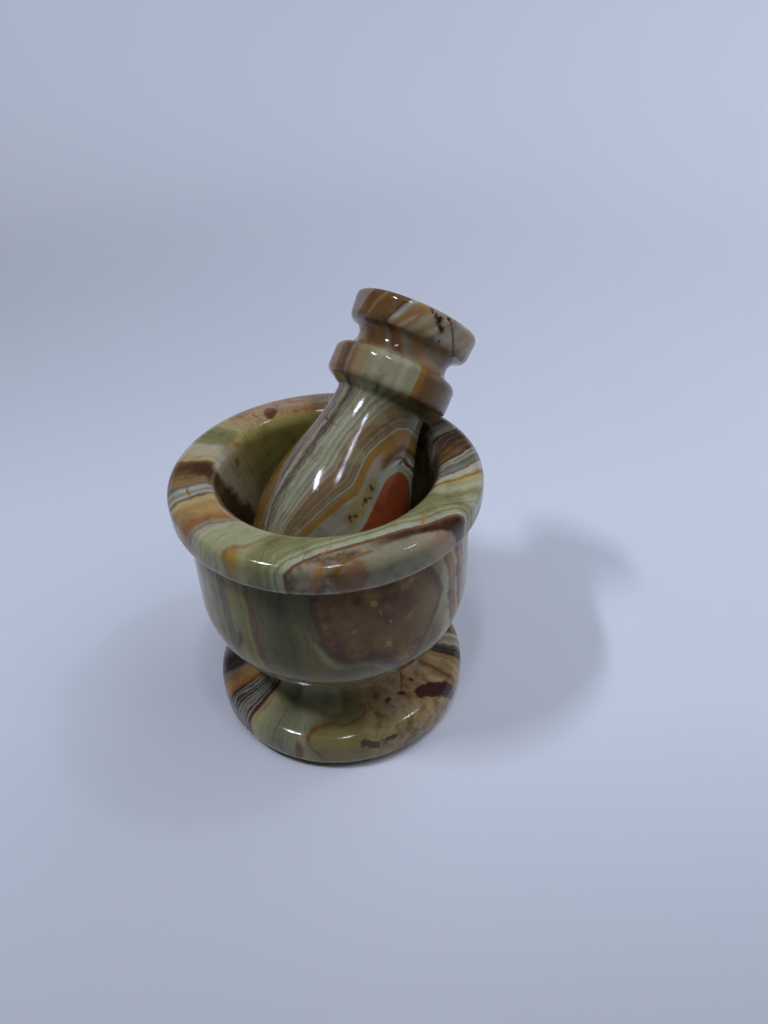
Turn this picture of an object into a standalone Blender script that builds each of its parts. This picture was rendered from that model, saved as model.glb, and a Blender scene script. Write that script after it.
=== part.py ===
"""Mortar and pestle, each turned from one block of banded onyx.

Frame: metres, +Z up. The origin is the centre of the mortar's base, on its axis.
The pestle stands in the cup and leans towards +X against the rim.
"""

from math import cos, hypot, pi, radians, sin

import bpy

# Driving dimensions, in metres
RIM_RADIUS = 0.0450         # outer radius of the lip
HEIGHT = 0.0867             # base to the top of the lip
CUP_RADIUS = 0.0304         # straight inner wall
CUP_SPRING_Z = 0.0560       # where the wall turns into the round floor
CUP_FLOOR_Z = 0.0360
BOWL_RADIUS = 0.0413        # widest part of the bowl
BOWL_CORNER_Z = 0.0485      # where the bowl's wall turns under
BOWL_ROUND = 0.0265         # radius of the bowl's round underside
NECK_RADIUS = 0.0253
NECK_Z = 0.0226
FOOT_RADIUS = 0.0406
FOOT_SIDE_Z = 0.0046        # height of the foot's widest line

PESTLE_LENGTH = 0.0975
PESTLE_HEAD_RADIUS = 0.0187
PESTLE_GROOVE_RADIUS = 0.0138
PESTLE_COLLAR_RADIUS = 0.0185
PESTLE_NECK_RADIUS = 0.0135
PESTLE_CLUB_RADIUS = 0.0218
PESTLE_LEAN = radians(41.7)
PESTLE_TIP = (-0.0238, -0.0027, 0.0444)

MORTAR_STEPS = 48
PESTLE_STEPS = 40
MERGE = 0.00005
MM = 0.001


def arc(centre, radii, start, end, steps):
    """Points of an elliptical arc in the (r, z) half plane, angles in degrees."""
    points = []
    for i in range(steps + 1):
        angle = radians(start + (end - start) * i / steps)
        points.append((centre[0] + radii[0] * cos(angle), centre[1] + radii[1] * sin(angle)))
    return points


def cup_profile():
    """Round floor and straight wall, from the axis up to the mouth."""
    depth = CUP_SPRING_Z - CUP_FLOOR_Z
    return arc((0, CUP_SPRING_Z), (CUP_RADIUS, depth), -90, 0, 14)


def lip_profile():
    """The thick lip: inner roll, nearly flat crown, round shoulder and outer band."""
    roll = 4.5 * MM
    shoulder = 3.0 * MM
    band = 4.0 * MM
    inner = arc((CUP_RADIUS + roll, HEIGHT - roll), (roll, roll), 180, 92, 7)
    outer = arc((RIM_RADIUS - shoulder, HEIGHT - 0.8 * MM - shoulder), (shoulder, shoulder), 80, 0, 5)
    under = arc((RIM_RADIUS - band, HEIGHT - 7.5 * MM), (band, band), 0, -72, 5)
    step = [(RIM_RADIUS - 4.8 * MM, HEIGHT - 11.5 * MM), (RIM_RADIUS - 5.1 * MM, HEIGHT - 12.5 * MM)]
    return inner + outer + under + step


def bowl_profile():
    """Upright wall under the lip, the round underside, and the step in to the neck."""
    top_radius = RIM_RADIUS - 5.1 * MM
    top_z = HEIGHT - 12.5 * MM
    points = []
    for i in range(1, 7):
        t = i / 7
        bulge = sin(pi / 2 * min(1.0, 2.2 * t))
        radius = top_radius + (BOWL_RADIUS - top_radius) * bulge
        points.append((radius, top_z + (BOWL_CORNER_Z - top_z) * t))
    points += arc((BOWL_RADIUS - BOWL_ROUND, BOWL_CORNER_Z), (BOWL_ROUND, BOWL_ROUND), 0, -56, 9)
    return points + [(NECK_RADIUS + 1.3 * MM, NECK_Z + 2.6 * MM)]


def foot_profile():
    """Hollow neck, sloping top band, round side and flat base."""
    cove = arc((NECK_RADIUS + 7.7 * MM, NECK_Z), (7.7 * MM, 8.2 * MM), 180, 260, 8)
    shoulder = arc((FOOT_RADIUS - 3.3 * MM, 8.9 * MM), (3.2 * MM, 3.5 * MM), 65, 0, 4)
    side = arc((FOOT_RADIUS - 3.0 * MM, FOOT_SIDE_Z), (3.0 * MM, FOOT_SIDE_Z), 0, -90, 5)
    return cove + shoulder + side + [(0, 0)]


def head_profile():
    """Flat-topped head, round groove and collar, from the top down to the neck."""
    top = PESTLE_LENGTH
    edge = 1.5 * MM
    points = [(0, top)]
    points += arc((PESTLE_HEAD_RADIUS - edge, top - edge), (edge, edge), 90, 0, 3)
    points += [(PESTLE_HEAD_RADIUS - 0.5 * MM, top - 7.2 * MM), (PESTLE_HEAD_RADIUS - 1.3 * MM, top - 8.4 * MM)]
    depth = PESTLE_COLLAR_RADIUS - 1.5 * MM - PESTLE_GROOVE_RADIUS
    points += arc((PESTLE_COLLAR_RADIUS - 1.5 * MM, top - 12.0 * MM), (depth, 3.4 * MM), 90, 270, 8)
    points += [(PESTLE_COLLAR_RADIUS - 0.5 * MM, top - 16.2 * MM), (PESTLE_COLLAR_RADIUS, top - 17.2 * MM)]
    points += [(PESTLE_COLLAR_RADIUS, top - 23.6 * MM), (PESTLE_COLLAR_RADIUS - 0.5 * MM, top - 24.6 * MM)]
    return points + [(PESTLE_COLLAR_RADIUS - 2.1 * MM, top - 25.6 * MM), (PESTLE_NECK_RADIUS, top - 27.4 * MM)]


def club_profile():
    """Body that swells smoothly from the neck to the club, and its round grinding end."""
    neck_z = PESTLE_LENGTH - 27.4 * MM
    widest_z = PESTLE_LENGTH - 66.0 * MM
    points = []
    for i in range(1, 12):
        t = i / 12
        swell = (1 - cos(pi * t ** 0.92)) / 2
        radius = PESTLE_NECK_RADIUS + (PESTLE_CLUB_RADIUS - PESTLE_NECK_RADIUS) * swell
        points.append((radius, neck_z + (widest_z - neck_z) * t))
    return points + arc((0, widest_z), (PESTLE_CLUB_RADIUS, widest_z), 0, -90, 12)


def without_repeats(points):
    """Drop a point that repeats the one before it, and put the ends exactly on the axis."""
    kept = []
    for radius, z in points:
        radius = 0.0 if radius < MERGE else radius
        if not kept or hypot(radius - kept[-1][0], z - kept[-1][1]) > MERGE:
            kept.append((radius, z))
    return kept


def turned(name, points, steps, collection, material):
    """A solid of revolution: the profile turned about Z by a Screw modifier."""
    mesh = bpy.data.meshes.new(name)
    profile = without_repeats(points)
    vertices = [(radius, 0.0, z) for radius, z in profile]
    edges = [(i, i + 1) for i in range(len(profile) - 1)]
    mesh.from_pydata(vertices, edges, [])
    piece = bpy.data.objects.new(name, mesh)
    collection.objects.link(piece)
    screw = piece.modifiers.new("Turning", "SCREW")
    screw.axis = "Z"
    screw.angle = 2 * pi
    screw.steps = steps
    screw.render_steps = steps
    screw.use_merge_vertices = True
    screw.merge_threshold = MERGE
    screw.use_smooth_shade = True
    piece.data.materials.append(material)
    return piece


def stone(name, colour, roughness):
    """Polished banded onyx in one mean colour."""
    material = bpy.data.materials.new(name)
    material.use_nodes = True
    shader = material.node_tree.nodes["Principled BSDF"]
    shader.inputs["Base Color"].default_value = (*colour, 1.0)
    shader.inputs["Roughness"].default_value = roughness
    shader.inputs["Metallic"].default_value = 0.0
    material.diffuse_color = (*colour, 1.0)
    return material


def build_mortar(collection):
    """The cup, its lip and its foot are one stone."""
    points = cup_profile() + lip_profile() + bowl_profile() + foot_profile()
    return turned("mortar", points, MORTAR_STEPS, collection, stone("mortar_stone", (0.30, 0.26, 0.16), 0.12))


def build_pestle(collection):
    """The pestle's origin is its tip; it leans about Y, towards +X."""
    points = head_profile() + club_profile()
    pestle = turned("pestle", points, PESTLE_STEPS, collection, stone("pestle_stone", (0.33, 0.27, 0.19), 0.10))
    pestle.location = PESTLE_TIP
    pestle.rotation_euler = (0.0, PESTLE_LEAN, 0.0)
    return pestle


def main():
    for old in list(bpy.data.objects):
        bpy.data.objects.remove(old, do_unlink=True)
    collection = bpy.data.collections.new("mortar_and_pestle")
    bpy.context.scene.collection.children.link(collection)
    build_mortar(collection)
    build_pestle(collection)
    bpy.context.view_layer.update()


main()
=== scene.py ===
"""Looks of the mortar and pestle: fine turned meshes in banded onyx, on a pale floor in soft studio light."""

from math import cos, degrees, pi, radians, sin

import bpy
import numpy as np
from mathutils import Matrix, Vector


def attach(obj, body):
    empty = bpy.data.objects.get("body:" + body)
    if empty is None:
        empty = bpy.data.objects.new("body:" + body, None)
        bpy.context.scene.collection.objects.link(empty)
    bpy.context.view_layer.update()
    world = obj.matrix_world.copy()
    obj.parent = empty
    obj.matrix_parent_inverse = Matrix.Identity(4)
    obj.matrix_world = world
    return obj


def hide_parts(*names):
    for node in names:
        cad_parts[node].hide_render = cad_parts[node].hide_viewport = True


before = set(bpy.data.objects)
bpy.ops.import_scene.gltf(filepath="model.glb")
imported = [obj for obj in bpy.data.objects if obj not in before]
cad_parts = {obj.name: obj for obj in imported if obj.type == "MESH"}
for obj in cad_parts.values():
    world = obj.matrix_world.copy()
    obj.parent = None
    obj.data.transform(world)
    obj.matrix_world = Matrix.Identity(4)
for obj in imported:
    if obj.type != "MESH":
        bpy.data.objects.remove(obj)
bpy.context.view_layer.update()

MM = 0.001

# Driving dimensions of the two stones, in millimetres, as the solids have them
RIM_RADIUS = 45.0
HEIGHT = 86.7
CUP_RADIUS = 30.4
CUP_SPRING_Z = 56.0
CUP_FLOOR_Z = 36.0
BOWL_RADIUS = 41.3
BOWL_CORNER_Z = 48.5
BOWL_ROUND = 26.5
NECK_RADIUS = 25.3
NECK_Z = 22.6
FOOT_RADIUS = 40.6
FOOT_SIDE_Z = 4.6
PESTLE_LENGTH = 97.5
HEAD_RADIUS = 18.7
GROOVE_RADIUS = 13.8
COLLAR_RADIUS = 18.5
PESTLE_NECK_RADIUS = 13.5
CLUB_RADIUS = 21.8
PESTLE_LEAN = radians(41.7)
PESTLE_TIP = Vector((-0.0238, -0.0027, 0.0444))

# Turns about Z: from the view's axes to the frame's, and from the pestle's axes to its side in view
VIEW_TURN = radians(50.8)
PESTLE_TURN = radians(146.5)

# A phone's main camera: its lens for a 36 mm sensor, its place in the view's axes, its tilt and its roll
CAMERA_LENS = 28.1
CAMERA_SENSOR = 36.0
CAMERA_PLACE = (16.1, -189.8, 212.1)
CAMERA_DOWN = radians(37.1)
CAMERA_ROLL = radians(-2.0)

# Light: lamp strips 0.6 m up, in a cool white
LAMP_HEIGHT = 0.60
LAMP_COLOUR = (0.82, 0.90, 1.15)
LAMPS = (
    # name, place across and away from the viewer, size across and away, power
    ("middle_front", -0.01, -0.205, 0.03, 0.05, 0.25),
    ("middle_back", 0.01, -0.115, 0.03, 0.06, 0.25),
    ("left", -0.265, -0.11, 0.03, 0.11, 1.55),
    ("right_back", 0.27, 0.04, 0.04, 0.04, 0.25),
    ("right_panel", 0.50, 0.05, 0.75, 0.85, 3.00),
)
# Painted glow: the paper's own emission towards the far side, though it is no lamp
BACKDROP_GLOW = 0.28
# The tent's strength from the viewer's side to the far side, by a direction's share away from the viewer
TENT_SHADE = {"From Min": -0.5, "From Max": 0.4, "To Min": 0.0, "To Max": 0.06}
TENT_BEHIND = 0.36      # strength where the camera sees past the floor's edge

# The floor: a flat disc whose edge sweeps up, in metres
FLOOR_FLAT = 0.60
FLOOR_SWEEP = 0.42
FLOOR_AROUND = 96
FLOOR_STEPS = 24
# Painted shadow on the paper: its shade by millimetres away from the viewer, darker towards the viewer
PAPER_PAINTED_SHADOW = [
    (-280, (0.38, 0.38, 0.38)), (-110, (0.70, 0.70, 0.70)), (-20, (0.92, 0.92, 0.92)),
    (100, (1.0, 1.0, 1.0)),
]


# ---- camera, light and floor

def add_camera():
    """The phone's camera, close to the object and looking down into the cup."""
    data = bpy.data.cameras.new("camera")
    data.sensor_width = CAMERA_SENSOR
    data.lens = CAMERA_LENS
    data.clip_start = 0.01
    camera = bpy.data.objects.new("camera", data)
    bpy.context.scene.collection.objects.link(camera)
    turn = Matrix.Rotation(-VIEW_TURN, 4, "Z")
    place = turn @ Matrix.Translation(Vector(CAMERA_PLACE) * MM)
    tilt = Matrix.Rotation(pi / 2 - CAMERA_DOWN, 4, "X") @ Matrix.Rotation(CAMERA_ROLL, 4, "Z")
    camera.matrix_world = place @ tilt
    bpy.context.scene.camera = camera


def add_lamp(name, x, y, width, length, power):
    """A lamp overhead, given in the view's axes, that points straight down; the soft panel casts no glint."""
    data = bpy.data.lights.new(name, "AREA")
    data.shape = "RECTANGLE"
    data.size = width
    data.size_y = length
    data.energy = power
    data.color = LAMP_COLOUR
    lamp = bpy.data.objects.new(name, data)
    lamp.visible_glossy = name != "right_panel"
    bpy.context.scene.collection.objects.link(lamp)
    lamp.matrix_world = Matrix.Rotation(-VIEW_TURN, 4, "Z") @ Matrix.Translation((x, y, LAMP_HEIGHT))


def add_tent():
    """The tent's walls: pale at the back and the sides, dark at the open front where the viewer stands."""
    graph = Graph(bpy.data.worlds.new("tent"))
    away = graph.split(graph.mapped(graph.coordinates("Generated"), VIEW_TURN, 1))[1]
    shade = graph.node("ShaderNodeMapRange", {"Value": away, **TENT_SHADE}).outputs[0]
    behind = graph.times(graph.node("ShaderNodeLightPath").outputs["Is Camera Ray"], TENT_BEHIND)
    strength = graph.math("MAXIMUM", shade, behind)
    graph.fill(graph.tree.nodes["Background"], {"Color": (*LAMP_COLOUR, 1.0), "Strength": strength})
    bpy.context.scene.world = graph.owner
    bpy.context.scene.view_settings.view_transform = "Standard"


def add_lights():
    """The lamps overhead, inside a tent."""
    for lamp in LAMPS:
        add_lamp(*lamp)
    add_tent()


def floor_mesh():
    """A disc, flat under the object, whose edge sweeps up all round."""
    path = [(FLOOR_FLAT, 0.0)]
    for i in range(1, FLOOR_STEPS + 1):
        angle = pi / 2 * i / FLOOR_STEPS
        path.append((FLOOR_FLAT + FLOOR_SWEEP * sin(angle), FLOOR_SWEEP * (1 - cos(angle))))
    turns = [2 * pi * k / FLOOR_AROUND for k in range(FLOOR_AROUND)]
    vertices = [(r * cos(t), r * sin(t), z - 0.0002) for r, z in path for t in turns]
    faces = [tuple(range(FLOOR_AROUND))]
    for i in range(len(path) - 1):
        for k in range(FLOOR_AROUND):
            here, beyond = i * FLOOR_AROUND, (i + 1) * FLOOR_AROUND
            j = (k + 1) % FLOOR_AROUND
            faces.append((here + k, beyond + k, beyond + j, here + j))
    mesh = bpy.data.meshes.new("floor")
    mesh.from_pydata(vertices, [], faces)
    mesh.shade_smooth()
    return mesh


def floor_paper():
    """Pale paper with a painted shadow that dims it towards the viewer, and a faint painted glow of its own
    towards the tent's far wall.
    """
    graph = Graph(bpy.data.materials.new("floor_paper"))
    point = graph.mapped(graph.coordinates("Object"), 0.0)
    away = graph.split(point)[1]
    cloud = graph.noise(point, 0.004, detail=3)
    paper = graph.ramp(cloud, [(0.3, (0.78, 0.79, 0.80)), (0.7, (0.81, 0.81, 0.81))])
    shaded = graph.mix(1.0, paper, graph.ramp(away, PAPER_PAINTED_SHADOW, -400, 100), "MULTIPLY")
    # painted glow: the paper itself emits light, more towards the far side
    glow = graph.times(graph.step(away, 100.0, 900.0), BACKDROP_GLOW)
    emission = {"Emission Color": (*LAMP_COLOUR, 1.0), "Emission Strength": glow}
    return graph.finish({"Base Color": shaded, "Roughness": 0.9, **emission})


def add_floor():
    floor = bpy.data.objects.new("floor", floor_mesh())
    bpy.context.scene.collection.objects.link(floor)
    floor.matrix_world = Matrix.Rotation(-VIEW_TURN, 4, "Z")
    floor.data.materials.append(floor_paper())


# ---- shader graphs

class Graph:
    """The node tree of a material or a world, with one short call for each kind of node."""

    def __init__(self, owner):
        owner.use_nodes = True
        self.owner = owner
        self.tree = owner.node_tree

    def fill(self, node, inputs):
        """Link each named input to a socket, or set its constant; None leaves it alone."""
        for key, value in inputs.items():
            if isinstance(value, bpy.types.NodeSocket):
                self.tree.links.new(value, node.inputs[key])
            elif value is not None:
                node.inputs[key].default_value = value

    def node(self, kind, inputs=None, **settings):
        node = self.tree.nodes.new(kind)
        for key, value in settings.items():
            setattr(node, key, value)
        self.fill(node, inputs or {})
        return node

    def math(self, operation, a, b=None):
        return self.node("ShaderNodeMath", {0: a, 1: b}, operation=operation).outputs[0]

    def times(self, a, b):
        return self.math("MULTIPLY", a, b)

    def plus(self, a, b):
        return self.math("ADD", a, b)

    def coordinates(self, kind):
        return self.node("ShaderNodeTexCoord").outputs[kind]

    def mapped(self, source, turn, scale=1000):
        """A point turned about Z, and brought from metres to millimetres."""
        inputs = {"Vector": source, "Rotation": (0, 0, turn), "Scale": (scale, scale, scale)}
        return self.node("ShaderNodeMapping", inputs).outputs[0]

    def split(self, vector):
        return tuple(self.node("ShaderNodeSeparateXYZ", {0: vector}).outputs)

    def join(self, x, y, z):
        return self.node("ShaderNodeCombineXYZ", {0: x, 1: y, 2: z}).outputs[0]

    def noise(self, vector, scale, detail=2.0, roughness=0.5):
        inputs = {"Vector": vector, "Scale": scale, "Detail": detail, "Roughness": roughness}
        return self.node("ShaderNodeTexNoise", inputs).outputs["Fac"]

    def centred(self, vector, scale, detail):
        """Noise that swings evenly about zero."""
        return self.math("SUBTRACT", self.noise(vector, scale, detail, 0.55), 0.5)

    def field(self, name):
        """A field of the mesh."""
        return self.node("ShaderNodeAttribute", attribute_name=name).outputs["Fac"]

    def place(self):
        """The way along the profile, and the azimuth."""
        return self.field("along"), self.field("azimuth")

    def cover(self, name, soft, rough):
        """1 inside a patch or vein of the mesh, with a ragged edge."""
        edge = self.plus(self.field(name), self.times(self.ragged, rough))
        return self.step(edge, soft, -soft)

    def step(self, value, low, high):
        """Smooth step from 0 at low to 1 at high."""
        inputs = {"Value": value, "From Min": low, "From Max": high}
        return self.node("ShaderNodeMapRange", inputs, interpolation_type="SMOOTHSTEP").outputs[0]

    def window(self, value, low, high, soft):
        """1 between low and high, falling to 0 over soft outside."""
        return self.times(self.step(value, low - soft, low), self.step(value, high + soft, high))

    def ramp(self, value, stops, low=0.0, high=1.0):
        """A colour ramp whose stops are given in the value's own units."""
        span = high - low
        share = self.math("DIVIDE", self.math("SUBTRACT", value, low), span)
        node = self.node("ShaderNodeValToRGB", {0: share})
        elements = node.color_ramp.elements
        while len(elements) < len(stops):
            elements.new(0.5)
        for element, (place, colour) in zip(elements, stops):
            element.position = (place - low) / span
        for element, (place, colour) in zip(elements, stops):
            element.color = (*colour, 1.0)
        return node.outputs["Color"]

    def mix(self, factor, a, b, blend="MIX"):
        a, b = ((*colour, 1.0) if isinstance(colour, tuple) else colour for colour in (a, b))
        node = self.node("ShaderNodeMix", data_type="RGBA", blend_type=blend)
        self.fill(node, {0: factor, 6: a, 7: b})
        return node.outputs[2]

    def tint(self, base, colour, cover, amount=1.0):
        """Lay a colour over a base, by a cover from 0 to 1 and an amount."""
        return self.mix(cover if amount == 1.0 else self.times(cover, amount), base, colour)

    def shown(self, base, marks):
        """Lay veins and patches over a base, each by its field, colour, edge and sometimes an amount."""
        for name, colour, soft, rough, *amount in marks:
            base = self.tint(base, colour, self.cover(name, soft, rough), *amount)
        return base

    def bump(self, height, distance, normal=None):
        inputs = {"Height": height, "Distance": distance, "Strength": 1.0, "Normal": normal}
        return self.node("ShaderNodeBump", inputs).outputs[0]

    def finish(self, inputs):
        """Fill the shader's inputs, and give the material."""
        self.fill(self.tree.nodes["Principled BSDF"], {"Specular IOR Level": 0.35, **inputs})
        return self.owner


# ---- the surface unrolled

class Skin:
    """A turned surface unrolled: azimuth in degrees from the side that faces the viewer, positive to the
    right, and the way along its profile in millimetres."""

    def __init__(self, azimuth, along, radius):
        self.azimuth = (azimuth + 180) % 360 - 180
        self.along = along
        self.radius = radius

    def stroke(self, path, closed=False):
        """Millimetres from a vein's edge, negative inside; path rows are azimuth, way along, half width."""
        scale = np.radians(np.maximum(self.radius, 2.0))
        nearest = np.full(len(self.along), 1e3)
        for (a0, s0, w0), (a1, s1, w1) in zip(path, path[1:] + path[:1] if closed else path[1:]):
            across, up = (a1 - a0) * scale, s1 - s0
            x, y = ((self.azimuth - a0 + 180) % 360 - 180) * scale, self.along - s0
            t = np.clip((x * across + y * up) / (across ** 2 + up ** 2 + 1e-9), 0, 1)
            nearest = np.minimum(nearest, np.hypot(x - t * across, y - t * up) - (w0 + (w1 - w0) * t))
        return nearest

    def patch(self, outline):
        """Millimetres from a patch's outline, negative inside; outline rows are azimuth, way along."""
        distance = self.stroke([(a, s, 0.0) for a, s in outline], closed=True)
        middle = sum(a for a, s in outline) / len(outline)
        azimuth = (self.azimuth - middle + 180) % 360 - 180 + middle
        inside = np.zeros(len(azimuth), bool)
        for (a0, s0), (a1, s1) in zip(outline, outline[1:] + outline[:1]):
            if s0 != s1:
                crosses = (self.along >= min(s0, s1)) & (self.along < max(s0, s1))
                inside ^= crosses & (azimuth < a0 + (self.along - s0) * (a1 - a0) / (s1 - s0))
        return np.where(inside, -distance, distance)

    def shapes(self, table):
        """A field for each shape: rows of three are a vein, rows of two a patch, and lists a group."""
        return {name: self.nearest(shape) for name, shape in table.items()}

    def nearest(self, shape):
        """Millimetres from a vein, from a patch or from the nearest of a group."""
        if isinstance(shape[0], list):
            return np.min([self.nearest(one) for one in shape], axis=0)
        return self.stroke(shape) if len(shape[0]) == 3 else self.patch(shape)


def ease(value, low, high):
    """Smooth step from 0 at low to 1 at high, on arrays."""
    t = np.clip((value - low) / (high - low), 0, 1)
    return t * t * (3 - 2 * t)


# ---- the stone's colours

WHITE = (0.40, 0.39, 0.30)
FROST = (0.36, 0.38, 0.33)
CREAM = (0.42, 0.35, 0.18)
MINT = (0.33, 0.34, 0.20)
GREEN = (0.23, 0.24, 0.11)
PINE = (0.13, 0.14, 0.07)
LICHEN = (0.17, 0.175, 0.11)
OLIVE = (0.19, 0.18, 0.075)
GREY = (0.21, 0.19, 0.15)
SLATE = (0.10, 0.10, 0.095)
INK = (0.035, 0.028, 0.028)
BROWN = (0.15, 0.08, 0.033)
BARK = (0.075, 0.037, 0.017)
TAN = (0.26, 0.165, 0.075)
ORANGE = (0.36, 0.20, 0.075)
RUST = (0.26, 0.11, 0.04)
AMBER = (0.24, 0.13, 0.022)
PINK = (0.33, 0.24, 0.17)
LILAC = (0.24, 0.19, 0.17)
MAROON = (0.06, 0.026, 0.024)
BRICK = (0.20, 0.045, 0.016)
SAGE = (0.27, 0.27, 0.17)
JADE = (0.36, 0.345, 0.25)
UMBER = (0.17, 0.13, 0.075)
BEIGE = (0.14, 0.092, 0.042)
SAND = (0.37, 0.30, 0.20)
NEAR_BLACK = (0.03, 0.018, 0.010)
MOSS = (0.085, 0.10, 0.045)
KHAKI = (0.31, 0.26, 0.085)
GOLD = (0.31, 0.20, 0.045)
HAZE = (0.15, 0.165, 0.20)
MIST = (0.33, 0.37, 0.42)


def blend(a, b, t=0.5):
    return tuple(x + (y - x) * t for x, y in zip(a, b))


# The whole stone's tone, and the bowl's, where less light comes back out of it
TONE = (1.05, 0.98, 0.80)
PESTLE_TONE = (1.00, 0.94, 0.78)
BOWL_TONE = (0.76, 0.66, 0.30)

# Bands round the lip, by azimuth on its outer shoulder: the left side, then the right side
LIP_LEFT = [
    (-180, OLIVE), (-172, TAN), (-167, RUST), (-164, TAN), (-157, RUST), (-149, ORANGE), (-141, ORANGE),
    (-133, blend(ORANGE, CREAM)), (-127, CREAM), (-123, OLIVE), (-113, OLIVE), (-109, WHITE), (-97, CREAM),
    (-95, BROWN), (-91, BARK), (-85, BROWN), (-78.6, TAN), (-77.4, SLATE), (-75, FROST), (-72, GREY),
    (-70, FROST), (-68.4, BROWN), (-66.8, CREAM), (-62, ORANGE), (-58, blend(CREAM, ORANGE)), (-54, RUST),
    (-51.6, PINK), (-50, GREY), (-48.4, WHITE), (-44, MINT), (-30, MINT), (-20, GREEN),
]
LIP_RIGHT = [
    (55, FROST), (60, MINT), (65, GREEN), (68.5, WHITE), (71, MINT), (74, CREAM), (76.5, AMBER), (79, WHITE),
    (82, WHITE), (83, SLATE), (85, GREY), (88, SLATE), (90.5, blend(WHITE, GREY)), (92.2, SLATE),
    (93, WHITE), (94.5, BARK), (98, BROWN), (101, BARK), (103, blend(AMBER, BARK)), (105, NEAR_BLACK), (108, BARK),
    (111.6, NEAR_BLACK), (112.4, LICHEN), (115, GREY), (117, SLATE), (120, NEAR_BLACK), (128, BROWN), (138, CREAM),
    (152, TAN), (165, ORANGE), (180, OLIVE),
]
# Shells round the lip's pocket, by millimetres outside it
LIP_FRONT = [
    (0.0, GREY), (0.8, FROST), (2.0, MINT), (2.7, LICHEN), (3.3, MINT), (4.1, GREEN), (4.7, LICHEN),
    (5.4, GREEN), (6.6, blend(GREEN, OLIVE)), (7.2, LICHEN), (8.0, blend(GREEN, OLIVE)), (10.0, OLIVE),
    (12.0, GREEN), (14.0, MINT),
]
# Bands of the cup's wall by azimuth; the near-black stretch from 66 to 118 on the right is painted shadow,
# not the stone's colour
CUP = [
    (-180, KHAKI), (-125, KHAKI), (-119, blend(KHAKI, CREAM)), (-112, SAND), (-100, WHITE), (-90, CREAM),
    (-80, BROWN), (-60, BROWN), (-40, OLIVE), (0, GREEN), (50, OLIVE), (66, NEAR_BLACK), (108, NEAR_BLACK), (112, SLATE),
    (118, NEAR_BLACK), (140, OLIVE), (160, KHAKI), (180, KHAKI),
]
BOWL = [
    (-72, CREAM), (-61, PINK), (-57, GREY), (-54, WHITE), (-48.5, GREY), (-46.5, MINT), (-44, PINE),
    (-42, LICHEN), (-40.6, PINE), (-39.6, MINT), (-36, blend(MINT, GREEN)), (-33, GREEN), (-31, MINT),
    (-30.2, LICHEN), (-29.4, blend(BROWN, RUST, 0.7)), (-27.6, BROWN), (-26.8, LICHEN), (-24, LICHEN),
    (-21, PINE), (-14, MOSS), (-11, LICHEN), (-8, LICHEN), (40, GREY), (49, blend(FROST, PINK)), (53, WHITE),
    (55, BROWN), (57, TAN), (59, RUST), (60.5, CREAM), (63, BARK), (65, ORANGE), (70, BROWN),
]
FOOT_LEFT = [
    (-100, GREY), (-90, GREY), (-85, INK), (-80, MAROON), (-76, INK), (-73, GREY), (-71, TAN), (-66, ORANGE),
    (-62.5, RUST), (-61, MAROON), (-59.8, INK), (-57.6, SLATE), (-55, INK), (-52.4, SLATE), (-50, GREY),
    (-48.2, SLATE), (-46.6, INK), (-45.2, MAROON), (-43.9, MAROON), (-43.2, PINK), (-41.5, CREAM),
    (-39, MINT), (-36, SAGE), (-27, LICHEN), (-18, SAGE), (-8, OLIVE), (10, OLIVE), (30, TAN), (50, TAN),
]
FOOT_RIGHT = [
    (50, TAN), (54, PINK), (57, RUST), (60, CREAM), (62, WHITE), (64, ORANGE), (66.5, BROWN), (69, PINK),
    (71.5, ORANGE), (74, CREAM), (75.5, GREY), (77.6, ORANGE), (79, MAROON), (82, INK), (85.5, SLATE),
    (87.5, WHITE), (92, GREY), (95, WHITE), (97, BROWN), (106, TAN), (120, BROWN), (140, CREAM),
    (160, ORANGE), (180, TAN),
]

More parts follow.
